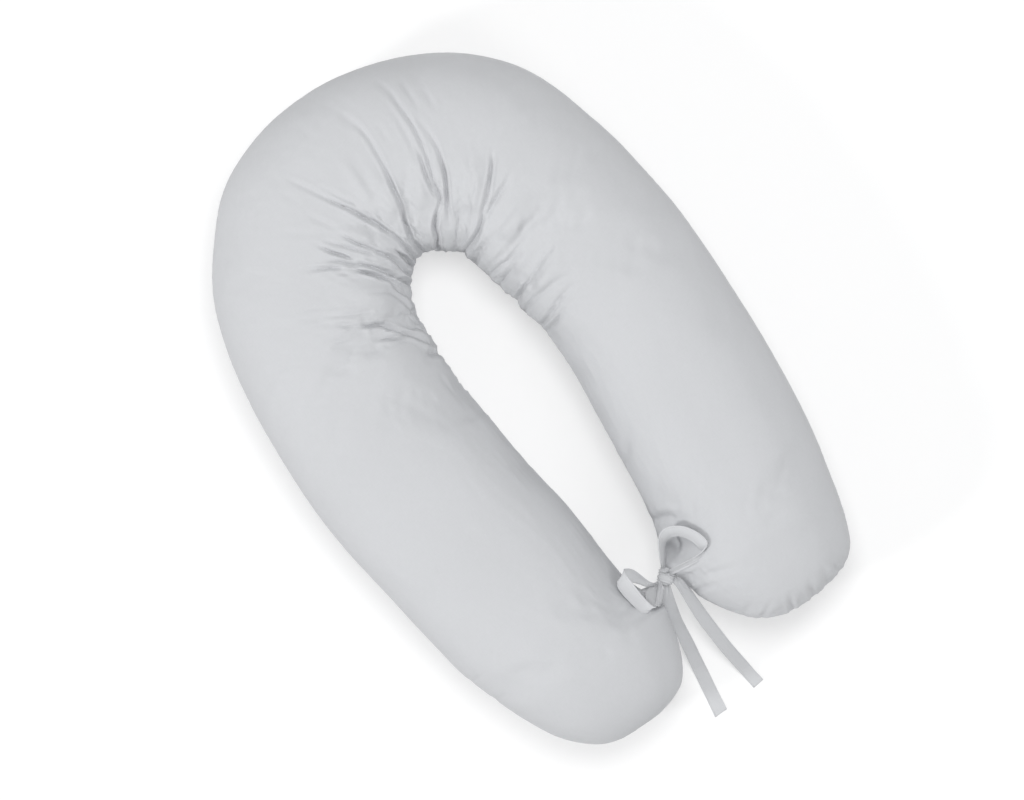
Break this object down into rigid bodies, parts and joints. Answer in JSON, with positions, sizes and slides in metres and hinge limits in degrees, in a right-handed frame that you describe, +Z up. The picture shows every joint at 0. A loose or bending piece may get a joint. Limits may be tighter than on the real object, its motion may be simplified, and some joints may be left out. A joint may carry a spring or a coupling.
{
  "type": "u-shaped body pillow",
  "caption": "Filled U-shaped body pillow lying flat, gathered round its inner bend, its two lobes tied together by a tape bow.",
  "frame": {"origin": "middle of the object's plan, on the surface it lies on", "axes": "+Y from the tied open end towards the bend, +Z up, +X to the right lobe"},
  "size_m": [0.6603, 1.0506, 0.2013],
  "materials": {
    "cotton_body": "plain matt light grey cotton",
    "cotton_tape": "plain matt light grey cotton tape"
  },
  "bodies": {
    "root": {"pillow": "cotton_body", "tie_left": "cotton_tape", "tie_right": "cotton_tape"}
  },
  "joints": []
}
